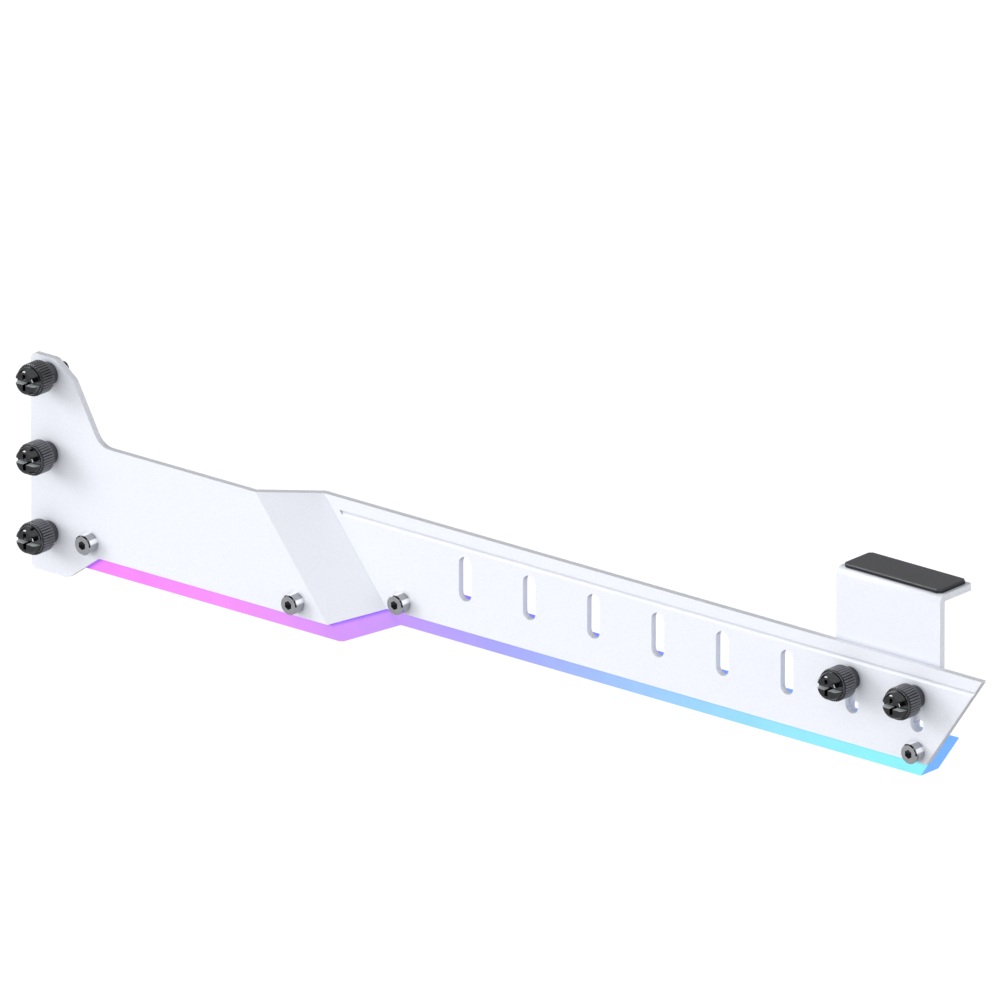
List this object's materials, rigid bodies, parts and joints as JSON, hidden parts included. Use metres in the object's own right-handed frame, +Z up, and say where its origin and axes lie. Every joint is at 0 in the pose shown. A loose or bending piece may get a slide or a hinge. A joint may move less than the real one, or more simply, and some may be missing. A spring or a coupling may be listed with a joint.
{
  "type": "graphics card support bracket",
  "caption": "Folded white steel bracket with a light bar, screwed beside the case slots, with an adjustable padded arm that holds up a graphics card.",
  "frame": {"origin": "the middle mounting screw's axis, on the back face of the mounting flange", "axes": "+X along the plate towards its tip, +Y out of the flange's back along the screws, +Z up"},
  "size_m": [0.288, 0.033, 0.0552],
  "materials": {
    "white_powder_coat": "fine powder coat",
    "black_rubber": "matt",
    "black_nickel": "glossy black plating",
    "chrome": "polished",
    "diffuser_plastic": "translucent, lit from inside",
    "cover_plastic": "satin",
    "board": "solder mask",
    "led_package": "clear resin"
  },
  "bodies": {
    "bracket": {"main_plate": "white_powder_coat", "light_diffuser": "diffuser_plastic", "light_bar_back_cover": "cover_plastic", "led_board": "board", "led_01": "led_package", "led_02": "led_package", "led_03": "led_package", "led_04": "led_package", "led_05": "led_package", "led_06": "led_package", "led_07": "led_package", "led_08": "led_package", "led_09": "led_package", "led_10": "led_package", "led_11": "led_package", "led_12": "led_package", "led_13": "led_package", "light_bar_screw_1": "chrome", "light_bar_screw_2": "chrome", "light_bar_screw_3": "chrome", "light_bar_screw_4": "chrome"},
    "arm": {"support_arm": "white_powder_coat", "support_pad": "black_rubber"},
    "mount_thumbscrew_top": {"mount_thumbscrew_top": "black_nickel"},
    "mount_thumbscrew_middle": {"mount_thumbscrew_middle": "black_nickel"},
    "mount_thumbscrew_bottom": {"mount_thumbscrew_bottom": "black_nickel"},
    "arm_thumbscrew_left": {"arm_thumbscrew_left": "black_nickel"},
    "arm_thumbscrew_right": {"arm_thumbscrew_right": "black_nickel"}
  },
  "joints": [
    {"name": "arm_slide", "type": "slide", "parent": "bracket", "child": "arm", "axis": [0, 0, 1], "range_m": [-0.0006, 0.0006]},
    {"name": "mount_screw_top_turn", "type": "hinge", "parent": "bracket", "child": "mount_thumbscrew_top", "pos_m": [0, 0, 0.02032], "axis": [0, 1, 0], "continuous": true},
    {"name": "mount_screw_middle_turn", "type": "hinge", "parent": "bracket", "child": "mount_thumbscrew_middle", "pos_m": [0, 0, 0], "axis": [0, 1, 0], "continuous": true},
    {"name": "mount_screw_bottom_turn", "type": "hinge", "parent": "bracket", "child": "mount_thumbscrew_bottom", "pos_m": [0, 0, -0.02032], "axis": [0, 1, 0], "continuous": true},
    {"name": "arm_screw_left_turn", "type": "hinge", "parent": "arm", "child": "arm_thumbscrew_left", "pos_m": [0.24212, 0.01, -0.0033], "axis": [0, 1, 0], "continuous": true},
    {"name": "arm_screw_right_turn", "type": "hinge", "parent": "arm", "child": "arm_thumbscrew_right", "pos_m": [0.26212, 0.01, -0.0033], "axis": [0, 1, 0], "continuous": true}
  ]
}
